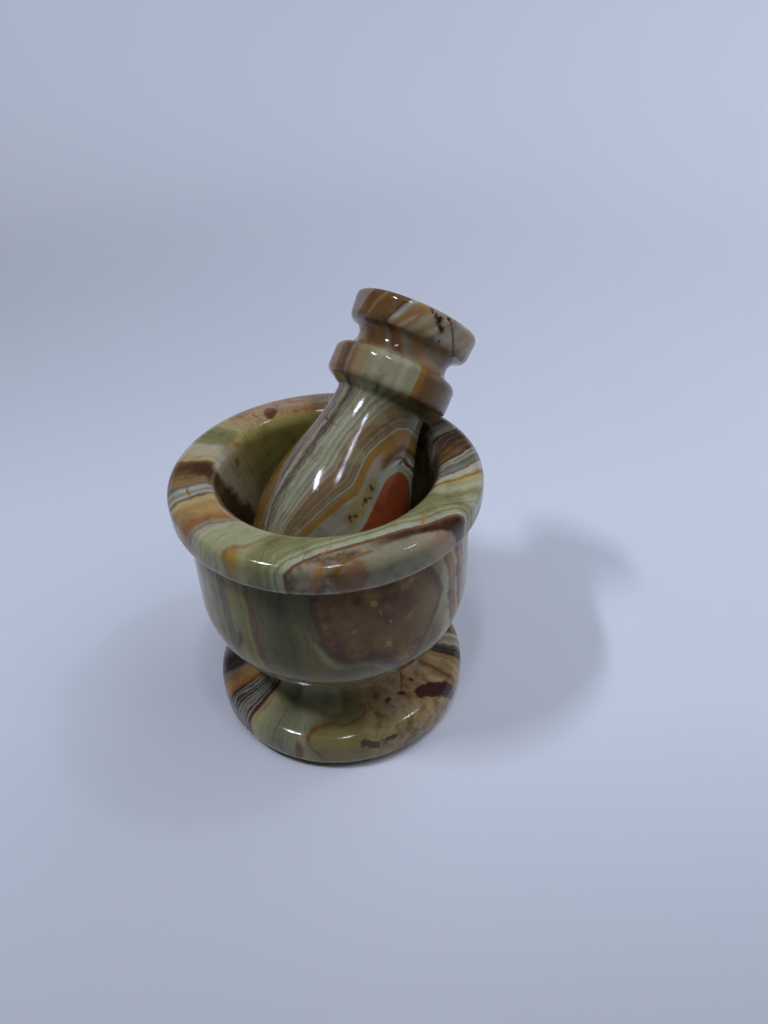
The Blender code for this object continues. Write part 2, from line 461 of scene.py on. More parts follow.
# Inclusions and veins on the mortar, by the name of their field: rows of azimuth and way along, with
# a half width for a vein; some are groups of small patches
MORTAR_SHAPES = {
    "pocket": [
        (-10, 94), (-11, 88), (-11, 84.5), (-8.5, 82), (-5, 80), (0, 78), (6, 76.8), (13, 76), (20, 75.6),
        (28, 75.6), (34, 76.2), (40, 77.6), (46, 79), (51, 80), (54.5, 81.5), (55.5, 83), (55, 86),
        (54.5, 90), (52, 94),
    ],
    "pocket_heart": [
        (10, 82), (13, 79.7), (20, 78.4), (28, 78.3), (35, 79), (40, 80.2), (45, 82), (48, 84), (50, 87),
        (50, 93), (16, 93), (13, 89), (9, 86),
    ],
    "pocket_vein": [
        (18, 79.2, 0.3), (12, 79.9, 0.6), (8, 81.3, 0.6), (5.3, 83.5, 0.7), (6, 86, 0.6), (9, 88.5, 0.5),
        (12, 90.5, 0.6), (14, 94, 0.6),
    ],
    "amber_stain": [(-3.5, 90), (-1.5, 84), (-0.5, 81), (1, 80.8), (2, 83), (0, 86), (-2, 90)],
    "lip_vein": [
        (-18, 70, 0.35), (-20.5, 72.5, 0.35), (-25, 76, 0.3), (-28, 78.6, 0.5), (-31.5, 80, 0.8),
        (-33.4, 82, 0.7), (-32.6, 85, 0.5), (-31, 88, 0.5), (-30.4, 93, 0.4),
    ],
    "cloud": [
        (-33, 81), (-31, 79.8), (-28.6, 80.4), (-27.4, 82.4), (-27, 86), (-28, 90), (-29, 95), (-32, 95),
        (-33, 88),
    ],
    "smoke": [(5, 93), (6.5, 86), (8, 82), (12, 80.6), (15, 82.4), (15.5, 86), (13.5, 90), (14, 95)],
    "crack": [(-76.5, 77.2, 0.25), (-74, 77.5, 0.35), (-72, 77.1, 0.45), (-70, 77.2, 0.2)],
    "red_spot": [
        (-152, 73), (-150, 71.5), (-147, 70.7), (-144.5, 71), (-145, 74), (-147, 76.5), (-149.5, 77.5),
        (-152, 76),
    ],
    "red_dot": [(-142, 74), (-140.5, 73.6), (-139.8, 75.5), (-141, 76.5)],
    "small_vein": [(46, 74.8, 0.35), (44, 76, 0.45), (41.5, 77.3, 0.4), (48, 74.4, 0.3)],
    "thin_vein": [(4.6, 74.8, 0.3), (2.8, 76.6, 0.35), (0.8, 78, 0.4)],
    # brown stone and painted shadow in one: the cup's left wall darkening to near black towards its floor
    "cup_brown_and_shadow": [
        (-94, 76), (-92, 70), (-90, 66), (-98, 61), (-108, 55), (-112, 50), (-121, 46), (-123, 40),
        (-123, 20), (-20, 20), (-20, 60), (-60, 66), (-84, 72), (-86, 76),
    ],
    "stains": [
        [(-121, 67.6), (-118, 68.2), (-117.5, 69.5), (-120, 69)],
        [(-117, 62.5), (-113.5, 62), (-113, 65), (-115.5, 66)],
        [(-115, 59), (-112.5, 58.6), (-113, 60.4)],
    ],
    "blotch": [
        (-8, 95), (-5.5, 99), (-5, 104), (-3.5, 110), (-2.5, 115), (0, 119), (3, 122), (7, 123),
        (13, 122.8), (19, 123.5), (22, 126.5), (25, 128.5), (28, 132), (30, 137), (36, 137), (35, 130),
        (37, 127), (40, 123), (44, 119), (48, 114), (50, 110), (49, 107), (46, 102), (44, 99), (42, 95),
    ],
    "olive": [
        (38, 101), (43, 103), (46, 108), (46, 112), (42, 117), (37, 121), (33, 123), (31, 118), (36, 112),
        (37, 106),
    ],
    "rust": [(25, 102), (33, 102), (36, 106), (33, 110), (26, 113), (22, 111), (25, 107)],
    "pale": [(2, 103), (8, 101), (16, 104), (22, 110), (24, 117), (18, 121), (8, 118), (3, 111)],
    "specks": [
        [(16.6, 102), (19.2, 102), (19.4, 104), (17, 104)], [(8.2, 110.6), (11, 110.8), (10.2, 112.6)],
        [(22.4, 117.8), (24.6, 118.6), (24.4, 120.6), (22.6, 120)],
        [(23.4, 110), (24.8, 110.4), (24.2, 112)], [(19.4, 105.4), (20.6, 106), (20.6, 108)],
        [(7, 114), (8, 114.2), (7.6, 115.2)],
    ],
    "bowl_flecks": [
        [(61, 99), (63.5, 98.6), (64, 103), (62, 103.6)],
        [(59.5, 107), (62, 106.4), (62.6, 111), (60.4, 112)], [(55, 114), (57, 113.6), (56.8, 116)],
    ],
    "pale_band": [
        (-5, 115.5, 0.5), (-1.6, 120.5, 0.9), (2, 124, 0.9), (7, 125, 0.5), (14, 124.8, 0.3),
        (19, 126.6, 0.4), (23, 130.4, 0.4), (27, 135, 0.3),
    ],
    "seam": [
        (-25, 128, 0.35), (-22, 132.5, 0.45), (-14, 134.4, 0.5), (0, 134.6, 0.5), (12, 135, 0.45),
        (24, 136, 0.5), (32, 135.6, 0.6), (40, 134, 0.4),
    ],
    "spur": [(-3.5, 115.5, 0.4), (-7, 117.5, 0.35), (-10, 119.5, 0.25), (-13, 122.5, 0.15)],
    "maroon": [(-36.5, 115.5), (-35, 118), (-36, 121), (-38.5, 124.5), (-40, 124.5), (-39, 120)],
    # painted light: a lighter patch in the foot's cove under the bowl's front, where the bowl's shade falls
    "cove_painted_light": [
        (-24, 158), (-14, 156.5), (0, 157), (2, 160), (1.6, 164.4), (-8, 167), (-20, 167), (-26, 163),
    ],
    "loop": [
        (-4.5, 186), (-9, 179), (-13.6, 175), (-14, 173), (-12, 170.6), (-8, 169), (-4, 168.2), (3, 169),
        (8, 168), (13, 167), (16, 165.2), (19, 168), (24, 169.5), (33, 171), (40, 176), (42, 186),
    ],
    "loop_vein": [
        (-4.5, 185, 0.4), (-9, 179, 0.4), (-13.6, 175, 0.5), (-14, 173, 0.5), (-12, 170.6, 0.8),
        (-8, 169, 0.7), (-4, 168.2, 0.5), (3, 169, 0.5), (8, 168, 0.6), (13, 167, 0.5),
        (15.6, 165.6, 0.4), (15.5, 164, 0.3),
    ],
    "foot_band": [(-18.5, 174.6, 0.4), (-17.6, 177, 1.2), (-18, 182, 1.3), (-17.6, 186, 1.0)],
    "spots": [
        [
            (9.3, 175), (12, 174.3), (16, 175.4), (18, 177), (17.5, 179), (14.5, 178.4), (12, 177),
            (9.3, 176.5),
        ],
        [(19, 175.6), (22, 175), (26, 176), (24, 177.4), (20.5, 177.3)],
    ],
    "red_spots": [
        [(27.6, 164.4), (31.5, 164), (32.5, 165), (29, 165.3)],
        [(36.5, 164), (41, 164.4), (43, 166), (39, 165.8)],
        [(49, 162.8), (52.3, 163.4), (52, 164.8), (50, 164.2)],
    ],
    "foot_spur": [(40, 164.6, 0.3), (43, 163, 0.35), (46, 161.4, 0.45), (47.5, 159.5, 0.5)],
    "foot_pink": [(24, 166), (30, 165.2), (38, 166), (41, 168), (36, 170.6), (29, 170), (25, 168.6)],
    "foot_amber": [
        (28, 170), (36, 170.5), (44, 167.5), (50, 165), (53, 167), (49, 170), (50, 175), (42, 177),
        (33, 173),
    ],
    "foot_maroon": [
        (45, 167), (48, 166.6), (52, 167), (56, 168.4), (60, 171), (63, 173), (64.5, 176), (65, 182),
        (61, 181), (58.6, 177), (54, 174.6), (51, 172.6), (48, 170.6), (45.4, 169.4),
    ],
}

# The polish's roughness and the mottles, by a noise from 0 to 1
GLOSS = [(0.3, (0.06, 0.06, 0.06)), (0.75, (0.14, 0.14, 0.14))]
CLOUDS = [(0.3, (0.62, 0.60, 0.55)), (0.5, (1.0, 1.0, 1.0)), (0.72, (1.12, 1.10, 1.05))]
RUSTY = [(0.36, RUST), (0.44, ORANGE), (0.52, SAND), (0.60, blend(CREAM, ORANGE, 0.3)), (0.68, TAN)]
FLESH = [(0.34, BROWN), (0.44, TAN), (0.52, SAND), (0.60, CREAM), (0.68, ORANGE)]
POCKET_LEFT = [
    (0.36, BROWN), (0.44, blend(UMBER, GREY)), (0.54, blend(SAND, GREY)), (0.66, blend(BROWN, PINK)),
]
POCKET_RIGHT = [(0.35, NEAR_BLACK), (0.6, BARK)]
POCKET_SMOKE = [(0.3, GREY), (0.5, blend(GREY, SAGE)), (0.7, blend(GREY, LICHEN))]
WARM_BROWN = blend(BROWN, RUST, 0.4)
BLOTCH_FILL = [(0.36, BARK), (0.45, WARM_BROWN), (0.53, blend(WARM_BROWN, TAN)), (0.60, TAN), (0.68, SAND)]

# Marks of one colour each: field, colour, the edge's softness and raggedness, and an amount if under 1
BLOTCH_MARKS = [
    ("pale", blend(TAN, SAND, 0.4), 2.0, 5.0, 0.5), ("rust", BROWN, 1.2, 2.5, 0.8),
    ("olive", blend(OLIVE, TAN, 0.3), 1.2, 2.0, 0.8),
]
FOOT_PATCHES = [
    ("loop", blend(OLIVE, TAN, 0.25), 0.6, 0.8), ("foot_amber", blend(AMBER, CREAM, 0.6), 1.0, 1.6),
    ("foot_pink", blend(PINK, GREY), 0.9, 1.4),
]
POCKET_MARKS = [
    ("pocket_vein", blend(AMBER, BROWN), 0.4, 0.9), ("amber_stain", blend(AMBER, ORANGE), 1.0, 1.6),
]
MORTAR_MARKS = [
    ("cloud", GOLD, 1.6, 2.5), ("lip_vein", blend(BROWN, ORANGE), 0.7, 0.9), ("crack", RUST, 0.2, 0.6),
    ("small_vein", ORANGE, 0.3, 0.7), ("thin_vein", ORANGE, 0.3, 0.7),
    ("red_spot", blend(MAROON, RUST, 0.25), 0.5, 1.2), ("red_dot", BROWN, 0.5, 1.0),
    # the cup's left wall: brown stone with painted shadow, near black towards the floor
    ("cup_brown_and_shadow", blend(BARK, NEAR_BLACK, 0.3), 1.6, 4.0), ("stains", AMBER, 0.8, 1.2),
    ("maroon", blend(MAROON, RUST, 0.35), 0.8, 1.4), ("spur", RUST, 0.25, 0.5),
    # painted light: the foot's cove under the bowl lightened to sage and jade
    ("seam", blend(RUST, BROWN), 0.4, 0.8), ("cove_painted_light", blend(SAGE, JADE, 0.4), 1.2, 1.4),
    ("loop_vein", blend(RUST, BROWN), 0.35, 0.9), ("foot_band", blend(BROWN, RUST, 0.2), 0.5, 1.4),
    ("foot_maroon", MAROON, 0.5, 3.0), ("foot_spur", BROWN, 0.25, 0.5), ("red_spots", MAROON, 0.3, 0.9),
    ("spots", blend(NEAR_BLACK, AMBER, 0.2), 0.3, 3.2), ("bowl_flecks", BARK, 0.5, 2.6),
]


def lean_of_bands(skin):
    """Azimuth of a point's band where that band crosses the lip's shoulder."""
    azimuth, along = skin.azimuth, skin.along
    left = 1.3 * ease(azimuth, -62, -45) * np.clip(78 - along, 0, 8)
    cup = 0.65 * np.clip(66 - along, 0, 30) * ease(azimuth, -60, -95)
    right = (1.45 - 1.05 * ease(azimuth, 96, 112)) * (np.clip(along, 66, 86) - 77)
    right = right * ease(azimuth, 40, 58) * ease(azimuth, 150, 125)
    return np.where(azimuth < 0, azimuth - left + cup, azimuth - right)


def lean_of_bowl(skin):
    """Azimuth on the bowl, straightened along the brown vein."""
    return skin.azimuth - np.interp(skin.along, (98, 108, 116, 124, 130), (-2.6, 0.0, 0.3, 1.6, 4.0))


def mortar_fields(skin):
    """Every field that the mortar's material reads, by name."""
    bands = {"lip": lean_of_bands(skin), "bowl": lean_of_bowl(skin)}
    return {"along": skin.along, "azimuth": skin.azimuth, **bands, **skin.shapes(MORTAR_SHAPES)}


def set_wobble(graph, point, soft_scale, ragged_scale, fine_scale, share):
    """Keep the noise that ragged edges share, and give the wobble of the bands."""
    soft = graph.centred(point, soft_scale, 2)
    fine = graph.times(graph.centred(point, fine_scale, 3), 0.4)
    graph.ragged = graph.plus(graph.centred(point, ragged_scale, 4), fine)
    return graph.plus(graph.times(soft, 5.0), graph.times(graph.ragged, share))


def streaks(graph, value, point, pitch, stretch):
    """Fine streaks that run with the bands."""
    x, _, z = graph.split(point)
    drift = graph.times(graph.plus(z, x), stretch)
    return graph.noise(graph.join(graph.times(value, pitch), drift, 3.0), 1.0, detail=5, roughness=0.62)


def streaked(graph, base, fine, amount):
    """Light and dark hairlines within the bands."""
    base = graph.tint(base, WHITE, graph.step(fine, 0.55, 0.70), amount)
    return graph.tint(base, BARK, graph.step(fine, 0.45, 0.32), amount)


def weathered(graph, base, point, tone):
    """Soft clouds over all, and the stone's whole tone."""
    clouds = graph.noise(point, 0.16, detail=5, roughness=0.6)
    shade = graph.ramp(clouds, CLOUDS)
    base = graph.mix(0.8, base, shade, "MULTIPLY")
    return graph.mix(1.0, base, tone, "MULTIPLY")


def lip_and_cup(graph, value, wobble, fine, mottle):
    """Bands round the lip, shells round its pocket, and the cup's wall."""
    along, azimuth = graph.place()
    left, right = graph.ramp(value, LIP_LEFT, -180, -20), graph.ramp(value, LIP_RIGHT, 55, 180)
    lip = graph.mix(graph.step(azimuth, 20, 21), left, right)
    lip = graph.tint(lip, graph.ramp(mottle, RUSTY), graph.window(azimuth, -166, -132, 7), 0.6)
    shells = graph.plus(graph.field("pocket"), graph.times(wobble, 0.22))
    front = graph.ramp(shells, LIP_FRONT, 0.0, 14.0)
    lip = graph.tint(lip, front, graph.window(azimuth, -21, 60, 5))
    cup = graph.ramp(value, CUP, -180, 180)
    cup = graph.tint(cup, blend(KHAKI, PINE), graph.step(along, 40, 20))
    inside = graph.plus(along, graph.times(wobble, 0.3))
    lip = graph.tint(lip, cup, graph.step(inside, 71.6, 69.4))
    near = graph.times(graph.window(value, -52, -22, 3), 0.7)
    return graph.tint(lip, PINE, graph.times(near, graph.step(fine, 0.52, 0.62)))


def bowl_bands(graph, lip, wobble):
    """Bands down the bowl's front; the lip's bands run on round its back."""
    along, azimuth = graph.place()
    bands = graph.ramp(graph.plus(graph.field("bowl"), graph.times(wobble, 0.7)), BOWL, -72, 70)
    bowl = graph.tint(lip, bands, graph.window(azimuth, -66, 66, 4))
    low = graph.times(graph.step(along, 121, 130), graph.window(azimuth, -24, 24, 6))
    return graph.tint(bowl, blend(LICHEN, GREY), low, 0.7)


def foot_bands(graph, value, wobble, point, mottle):
    """Bands, threads and fleshy clouds of the foot."""
    azimuth = graph.field("azimuth")
    swayed = graph.plus(azimuth, graph.times(wobble, 0.8))
    left = graph.ramp(swayed, FOOT_LEFT, -100, 50)
    right = graph.ramp(graph.plus(azimuth, graph.times(wobble, 1.2)), FOOT_RIGHT, 50, 180)
    foot = graph.mix(graph.step(azimuth, 46, 54), left, right)
    foot = graph.tint(foot, graph.ramp(value, LIP_LEFT, -180, -20), graph.step(azimuth, -96, -104))
    foot = streaked(graph, foot, streaks(graph, swayed, point, 1.5, 0.05), 0.6)
    uneven = graph.plus(graph.times(azimuth, 2.8), graph.times(wobble, 2.2))
    spread = graph.times(graph.noise(graph.join(azimuth, 0.0, 0.0), 0.35), 9.0)
    threads = graph.step(graph.math("SINE", graph.plus(uneven, spread)), 0.1, 0.8)
    threads = graph.times(threads, graph.window(azimuth, -59, -46, 1.5))
    foot = graph.tint(foot, blend(WHITE, GREY, 0.3), threads, 0.65)
    foot = graph.shown(foot, FOOT_PATCHES)
    return graph.tint(foot, graph.ramp(mottle, FLESH), graph.window(azimuth, 18, 58, 12), 0.5)


def mortar_colour(graph, point):
    """The bands of the lip, bowl and foot, then the inclusions and veins over them."""
    wobble = set_wobble(graph, point, 0.10, 0.45, 2.2, 2.4)
    along, azimuth = graph.place()
    value = graph.plus(graph.field("lip"), wobble)
    fine = streaks(graph, value, point, 0.9, 0.03)
    mottle = graph.noise(point, 0.34, detail=4, roughness=0.6)
    lip = lip_and_cup(graph, value, wobble, fine, mottle)
    base = graph.mix(graph.step(along, 95.0, 96.0), lip, bowl_bands(graph, lip, wobble))
    base = streaked(graph, base, fine, 0.35)
    base = graph.tint(base, foot_bands(graph, value, wobble, point, mottle), graph.step(along, 134, 141))
    base = lip_pocket(graph, base, point)
    base = graph.shown(base, MORTAR_MARKS)
    base = bowl_blotch(graph, base, point)
    duller = graph.times(graph.window(along, 97, 132, 4), graph.step(azimuth, 56, 46))
    base = graph.mix(duller, base, BOWL_TONE, "MULTIPLY")
    return weathered(graph, base, point, TONE)


def lip_pocket(graph, base, point):
    """The pale inclusion that the lip's front cuts through, with its rusty rim."""
    azimuth = graph.field("azimuth")
    mottle = graph.noise(point, 0.30, detail=3, roughness=0.5)
    broad = graph.noise(point, 0.16, detail=4, roughness=0.55)
    left, right = graph.ramp(broad, POCKET_LEFT), graph.ramp(mottle, POCKET_RIGHT)
    fill = graph.mix(graph.step(azimuth, 14, 30), left, right)
    base = graph.tint(base, fill, graph.cover("pocket", 0.15, 0.5))
    heart = graph.tint(graph.ramp(mottle, POCKET_SMOKE), PINK, graph.step(azimuth, 30, 46))
    base = graph.tint(base, heart, graph.cover("pocket_heart", 0.7, 0.9))
    edge = graph.math("ABSOLUTE", graph.plus(graph.field("pocket"), graph.times(graph.ragged, 0.5)))
    base = graph.tint(base, blend(RUST, BARK, 0.6), graph.step(edge, 0.75, 0.25), 0.9)
    base = graph.tint(base, WARM_BROWN, graph.cover("smoke", 0.9, 4.0), 0.8)
    return graph.shown(base, POCKET_MARKS)


def bowl_blotch(graph, base, point):
    """The broad brown inclusion on the bowl's front, mottled, in a pale halo."""
    blotch = graph.field("blotch")
    halo = graph.window(graph.plus(blotch, graph.ragged), -0.5, 1.2, 0.9)
    base = graph.tint(base, HAZE, graph.times(halo, graph.step(graph.field("azimuth"), 36, 24)), 0.8)
    base = graph.tint(base, MIST, graph.cover("pale_band", 1.0, 1.4), 0.8)
    fill = graph.ramp(graph.noise(point, 0.17, detail=6, roughness=0.62), BLOTCH_FILL)
    base = graph.tint(base, fill, graph.cover("blotch", 0.25, 1.6))
    base = graph.shown(base, BLOTCH_MARKS)
    edge = graph.window(graph.plus(blotch, graph.times(graph.ragged, 2.4)), -1.3, -0.1, 0.7)
    base = graph.tint(base, blend(BARK, BROWN, 0.4), edge, 0.7)
    return graph.tint(base, WHITE, graph.cover("specks", 0.25, 0.9))


# The pestle's patches and veins, in the same way; its body's bands nest between the arch and the left edge
PESTLE_SHAPES = {
    "arch": [
        (120, 61), (72, 59.6), (60, 59.3), (45, 58.7), (33, 59.6), (25, 61.6), (17, 64.6), (10, 68.4),
        (7.4, 72.5), (6.6, 78), (5, 80), (-1, 83), (-7, 87.4), (-13, 92.6), (-19, 97), (-23, 103),
        (-24, 109), (-18, 115), (0, 118), (120, 118),
    ],
    "arch_vein": [
        (72, 61, 1.5), (60, 60.6, 1.6), (45, 59.9, 1.4), (33, 60.9, 1.2), (25, 62.8, 1.0),
        (18, 65.6, 1.0), (11.5, 69, 0.9), (9.4, 73, 0.9), (8.6, 78, 0.9), (8.4, 80.5, 0.9),
        (2.5, 83.5, 0.9), (-4, 88, 0.9), (-10.5, 93, 0.9), (-17, 98, 0.9), (-21.6, 103.4, 0.9),
        (-22.6, 108.6, 0.8), (-17, 114, 0.6), (0, 117, 0.4),
    ],
    "left_brown": [
        (-70, 50), (-72, 64), (-66, 76), (-61, 86), (-58, 94), (-56, 106), (-56, 125), (-110, 125),
        (-110, 50),
    ],
    "red_heart": [
        (20, 92), (24, 87), (26.5, 80), (29.5, 75), (33, 72.6), (38, 71.2), (45, 70), (55, 70.4),
        (64, 72), (72, 76), (74, 82), (72, 89), (65, 96), (55, 101), (43, 103.4), (32, 102), (24, 98),
    ],
    "inner_arc": [
        (24, 71.6, 0.25), (28, 69.4, 0.4), (34, 67.4, 0.4), (42, 66.2, 0.45), (50, 66, 0.5),
        (58, 67.2, 0.5),
    ],
    "pit_stain": [(9, 84), (15, 79), (17, 75), (22, 75), (22, 81), (20, 86), (15, 90), (9, 89)],
    "body_crack": [
        (-62, 64, 0.3), (-55, 63.8, 0.35), (-48, 64.6, 0.25), (-40, 64.8, 0.2), (-34, 64.8, 0.15),
    ],
    "neck_spot": [(-10.2, 47.2), (-8.6, 47.2), (-8.8, 51.4), (-10.4, 51.2)],
    "head_red": [
        (-17.5, 26.6, 0.4), (-13, 24.6, 0.6), (-8, 23, 0.6), (-3, 21.6, 0.6), (1, 20, 0.7),
        (4, 18.6, 0.7),
    ],
    "head_orange": [(3, 27, 0.4), (8, 25, 0.5), (13, 23.4, 0.4), (19, 22, 0.3)],
    "head_pits": [
        (8.5, 18.8, 0.35), (11, 19.6, 0.5), (13, 19.8, 0.5), (15, 20.6, 0.7), (18, 20.6, 0.9),
        (20.5, 21.6, 0.9), (23, 22.4, 0.6), (25.5, 23, 0.35),
    ],
    "head_specks": [
        [(26, 25.4), (28.6, 26), (27.4, 27)], [(23, 18.4), (28.6, 18.6), (27, 20), (24, 19.4)],
        [(22.6, 23.6), (24, 24), (23, 24.8)],
    ],
    "head_line": [(28, 19.4, 0.35), (34, 21.6, 0.35), (40, 24, 0.4), (46, 26.2, 0.4), (54, 28, 0.6)],
    "head_smudges": [
        [(57, 22.2), (63, 21.4), (65, 22.4), (60, 23.2)], [(62, 24.4), (68, 24), (67, 25.6)],
    ],
    "collar_line": [(22, 47.7, 0.4), (40, 48.1, 0.5), (60, 48, 0.5), (78, 47.8, 0.4)],
}
LEFT_EDGE = [
    (-70, 50, 0.0), (-68, 60, 0.0), (-64, 72, 0.0), (-61, 82, 0.0), (-58, 92, 0.0), (-56, 104, 0.0),
    (-56, 120, 0.0),
]
BODY = [
    (-1.0, LICHEN), (-0.03, GREY), (0.01, BEIGE), (0.035, blend(GREY, WHITE, 0.3)), (0.05, BEIGE),
    (0.08, UMBER), (0.10, blend(BROWN, BEIGE)), (0.13, blend(GREY, UMBER)), (0.15, BEIGE),
    (0.19, blend(BROWN, UMBER)), (0.22, UMBER), (0.25, blend(BROWN, TAN, 0.3)), (0.28, UMBER), (0.30, PINK),
    (0.33, blend(GREY, UMBER)), (0.37, JADE), (0.41, LICHEN), (0.43, JADE), (0.48, blend(SAGE, LICHEN)),
    (0.52, FROST), (0.57, SAGE), (0.62, JADE), (0.68, blend(SAGE, GREY)), (0.72, GREY), (0.745, SLATE),
    (0.775, blend(SLATE, BARK)), (0.80, PINK), (0.86, blend(FROST, PINK)), (0.91, UMBER),
    (0.94, blend(PINK, UMBER)), (1.0, BROWN),
]
# Shells inside the arch's top, by millimetres from its edge
ARCH_INSIDE = [
    (-13, LICHEN), (-10, LICHEN), (-9, FROST), (-8.4, BARK), (-7.8, BARK), (-7.2, FROST), (-6.2, GREY),
    (-5.4, UMBER), (-4.4, BARK), (-3.5, BROWN), (-2.8, blend(AMBER, RUST, 0.3)),
    (-0.6, blend(AMBER, BROWN, 0.3)), (0.0, BEIGE),
]
PITS = [
    (18.5, 77, 0.5), (20.4, 77.8, 0.4), (17.8, 81.4, 0.8), (20.5, 80.4, 0.4), (16.6, 83, 0.4),
    (14.8, 86.4, 0.5), (11, 87.2, 0.6), (12.6, 88, 0.4), (22, 80, 0.3), (19, 85, 0.3),
]

HEAD = [
    (-90, BROWN), (-72, LILAC), (-64, PINK), (-61, BROWN), (-50, BROWN), (-47.5, TAN), (-43, BROWN),
    (-27, BROWN), (-24.6, BARK), (-24, LILAC), (-21, FROST), (-18, PINK), (-15, TAN), (-10, SAND), (-6, TAN),
    (0, SAND), (7, blend(SAND, GREY)), (14, SAND), (18, GREY), (30, blend(SAND, FROST)),
    (38, blend(SAND, PINK)), (44, SAND), (50, blend(ORANGE, PINK)), (58, SAND), (64, blend(GREY, PINK)),
    (74, TAN), (90, BROWN),
]
GROOVE = [
    (-80, TAN), (-62, TAN), (-50, BROWN), (-30, BROWN), (-22, blend(LILAC, BROWN)),
    (-17, blend(BROWN, MAROON, 0.3)), (-9, blend(RUST, BROWN)), (-4, LILAC), (3, blend(GREY, TAN)),
    (10, TAN), (20, blend(ORANGE, PINK)), (30, PINK), (38, PINK), (48, TAN), (58, blend(BROWN, TAN)),
    (64, GREY), (80, TAN),
]
COLLAR = [
    (-80, TAN), (-61, TAN), (-58, BROWN), (-47, BROWN), (-44, LILAC), (-40, blend(BROWN, TAN)),
    (-35, blend(TAN, PINK)), (-30, blend(SAGE, TAN)), (-22, SAGE), (-17, JADE), (-9, SAGE), (-5, JADE),
    (2, SAGE), (7, JADE), (12, SAGE), (20.4, SAGE), (21, AMBER), (24, AMBER), (29, BROWN),
    (36, blend(BROWN, BEIGE)), (50, BEIGE), (70, LILAC), (90, TAN),
]

PESTLE_MARKS = [
    ("arch_vein", blend(AMBER, BROWN, 0.4), 0.35, 0.8), ("inner_arc", BARK, 0.5, 1.0),
    ("pit_stain", blend(AMBER, LICHEN), 1.4, 2.0), ("red_heart", BRICK, 0.3, 0.7),
    ("body_crack", BROWN, 0.25, 0.6), ("neck_spot", MAROON, 0.3, 0.5),
    ("head_red", blend(RUST, ORANGE, 0.55), 0.4, 0.9), ("head_orange", ORANGE, 0.4, 0.8),
    ("head_line", BROWN, 0.3, 0.7), ("head_smudges", GREY, 0.8, 1.5), ("head_pits", NEAR_BLACK, 0.5, 2.6),
    ("head_specks", BARK, 0.25, 1.0), ("pits", BARK, 0.25, 1.0), ("collar_line", BROWN, 0.3, 0.5),
]


def pestle_fields(skin):
    """Every field that the pestle's material reads, by name."""
    fields = {"along": skin.along, "azimuth": skin.azimuth, **skin.shapes(PESTLE_SHAPES)}
    arch, left = fields["arch"], np.abs(skin.stroke(LEFT_EDGE))
    fields["body"] = arch / (np.abs(arch) + left + 0.01)
    fields["pits"] = np.min([skin.stroke([pit, pit]) for pit in PITS], axis=0)
    inward = np.where(skin.along < 19, np.minimum(skin.radius / HEAD_RADIUS, 1.0), 1.0)
    fields["layers"] = np.degrees(np.arcsin(np.sin(np.radians(skin.azimuth)) * inward))
    return fields


def pestle_body(graph, value, point):
    """Arched bands of the body, with mossy patches, dark runs at its left and shade under the collar."""
    along, azimuth = graph.place()
    body = graph.ramp(value, BODY, -1.0, 1.0)
    patches = graph.noise(point, 0.13, detail=4, roughness=0.6)
    body = graph.tint(body, blend(SAGE, LICHEN), graph.step(patches, 0.52, 0.62), 0.5)
    runs = streaks(graph, value, point, 16.0, 0.05)
    dark = graph.times(graph.step(runs, 0.50, 0.44), graph.window(value, 0.64, 0.98, 0.06))
    body = graph.tint(body, blend(SLATE, BARK), dark, graph.step(along, 50, 66))
    # painted shade under the collar: the body's right side just below it darkened towards pine
    painted_collar_shade = graph.mix(0.72, body, PINE)
    body = graph.tint(body, painted_collar_shade, graph.times(graph.step(along, 58, 52), graph.step(azimuth, -20, 12)))
    return graph.tint(body, blend(AMBER, BROWN), graph.cover("left_brown", 0.8, 1.2))


def pestle_head(graph, wobble):
    """Slanting layers of the head, swirling ones of the groove, and upright ones of the collar."""
    along, azimuth = graph.place()
    layers = graph.field("layers")
    down = graph.math("SUBTRACT", graph.math("MAXIMUM", along, 18.7), 26.0)
    slanting = graph.plus(graph.plus(layers, graph.times(down, 1.9)), wobble)
    head = graph.ramp(slanting, HEAD, -90, 90)
    loose = graph.plus(0.6, graph.times(graph.window(azimuth, -70, 10, 6), 0.7))
    drift = graph.times(graph.math("SUBTRACT", along, 31.0), -2.2)
    swirling = graph.plus(graph.plus(layers, drift), graph.times(wobble, 2.0))
    groove = graph.ramp(swirling, GROOVE, -80, 80)
    collar = graph.ramp(graph.plus(layers, graph.times(wobble, loose)), COLLAR, -80, 90)
    base = graph.mix(graph.step(along, 26.2, 27.4), head, groove)
    return graph.mix(graph.step(along, 33.5, 37.5), base, collar)


def pestle_colour(graph, point):
    """The body's and the head's bands, the shells inside the arch, the red heart, then the small marks."""
    wobble = set_wobble(graph, point, 0.18, 0.6, 2.6, 4.0)
    (along, azimuth), arch = graph.place(), graph.field("arch")
    sway = graph.plus(0.006, graph.times(graph.step(graph.field("body"), 0.3, 0.6), 0.010))
    value = graph.plus(graph.field("body"), graph.times(wobble, sway))
    fine = streaks(graph, value, point, 46.0, 0.06)
    body, head = pestle_body(graph, value, point), pestle_head(graph, wobble)
    threads = graph.plus(0.22, graph.times(graph.step(value, 0.26, 0.38), 0.28))
    head, body = streaked(graph, head, fine, 0.12), streaked(graph, body, fine, threads)
    base = graph.mix(graph.step(along, 47.4, 50.0), head, body)
    inner = graph.ramp(graph.plus(arch, graph.times(wobble, 0.35)), ARCH_INSIDE, -13, 0)
    top = graph.times(graph.step(along, 74, 68), graph.step(azimuth, 16, 27))
    base = graph.tint(base, inner, top, graph.step(arch, 0.1, -0.3))
    rim = graph.plus(graph.field("red_heart"), graph.times(graph.ragged, 0.9))
    base = graph.tint(base, blend(LICHEN, FROST, 0.3), graph.window(rim, 0.0, 1.5, 0.8))
    return weathered(graph, graph.shown(base, PESTLE_MARKS), point, PESTLE_TONE)


# A polished stone lets a little light in
GLOW_INSIDE = {
    "Subsurface Weight": 0.25, "Subsurface Radius": (1.0, 0.75, 0.4), "Subsurface Scale": 0.0025,
}


